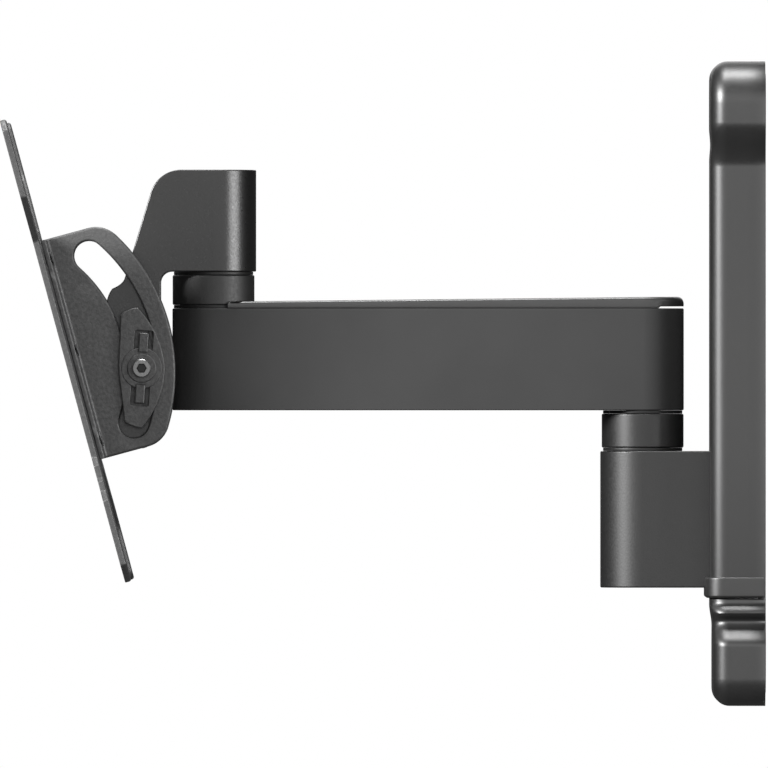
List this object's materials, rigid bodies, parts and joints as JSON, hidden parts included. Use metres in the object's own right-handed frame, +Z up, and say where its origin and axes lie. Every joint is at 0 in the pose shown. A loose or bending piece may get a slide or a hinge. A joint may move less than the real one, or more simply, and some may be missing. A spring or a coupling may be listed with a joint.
{
  "type": "full-motion television wall mount",
  "caption": "Single-arm wall mount for a television: covered wall plate, swinging arm, swivelling head and a tilting plate with slotted side brackets.",
  "frame": {"origin": "on the wall plane at the middle of the wall plate, on the mount's plane of symmetry", "axes": "+Y into the wall, so the television is towards -Y; +Z up; +X to the right of someone who faces the wall"},
  "size_m": [0.2244, 0.3599, 0.3034],
  "materials": {
    "graphite_plastic": "satin",
    "graphite_paint": "satin",
    "textured_paint": "fine textured powder coat",
    "black_plastic": "matte",
    "bearing_nylon": "matte",
    "zinc_steel": "zinc plated",
    "dark_steel": "blackened"
  },
  "bodies": {
    "wall_base": {"wall_plate": "textured_paint", "wall_cover_main": "graphite_plastic", "wall_cover_band": "graphite_plastic", "wall_cover_foot": "graphite_plastic", "wall_bracket": "graphite_paint", "wall_bracket_plug": "black_plastic", "wall_bracket_screw_1": "zinc_steel", "wall_bracket_screw_2": "zinc_steel", "wall_bracket_screw_3": "zinc_steel", "wall_bracket_screw_4": "zinc_steel", "wall_pivot_bolt": "zinc_steel", "wall_thrust_washer_lower": "bearing_nylon", "wall_pivot_collar": "graphite_paint", "wall_thrust_washer_upper": "bearing_nylon", "wall_pivot_washer": "zinc_steel", "wall_pivot_nut": "zinc_steel"},
    "arm": {"arm_body": "graphite_paint", "arm_cable_cover": "graphite_plastic", "arm_bush_lower": "bearing_nylon", "arm_bush_upper": "bearing_nylon", "arm_plug": "black_plastic", "head_pivot_bolt": "zinc_steel", "head_thrust_washer_lower": "bearing_nylon", "head_pivot_collar": "graphite_paint", "head_thrust_washer_upper": "bearing_nylon", "head_pivot_washer": "zinc_steel", "head_pivot_nut": "zinc_steel"},
    "head": {"head_bracket": "graphite_paint", "head_hub": "dark_steel", "head_cap": "black_plastic", "head_bush_lower": "bearing_nylon", "head_bush_upper": "bearing_nylon", "tilt_spacer": "zinc_steel", "tilt_washer_right": "bearing_nylon", "tilt_washer_left": "bearing_nylon", "tilt_slide_right": "textured_paint", "tilt_slide_left": "textured_paint", "tilt_bolt": "zinc_steel", "tilt_nut": "zinc_steel"},
    "tv_bracket": {"tv_plate": "textured_paint", "tilt_bracket_right": "textured_paint", "tilt_bracket_left": "textured_paint", "rivet_right_1": "dark_steel", "rivet_right_2": "dark_steel", "rivet_right_3": "dark_steel", "rivet_left_1": "dark_steel", "rivet_left_2": "dark_steel", "rivet_left_3": "dark_steel"}
  },
  "joints": [
    {"name": "arm_swing", "type": "hinge", "parent": "wall_base", "child": "arm", "pos_m": [0, -0.0577, 0], "axis": [0, 0, 1], "range_deg": [-90, 90]},
    {"name": "head_swivel", "type": "hinge", "parent": "arm", "child": "head", "pos_m": [0, -0.2601, 0.06], "axis": [0, 0, 1], "range_deg": [-80, 80]},
    {"name": "head_tilt", "type": "hinge", "parent": "head", "child": "tv_bracket", "pos_m": [0, -0.3676, 0.0048], "axis": [-1, 0, 0], "range_deg": [-2.5, 27.5]}
  ]
}
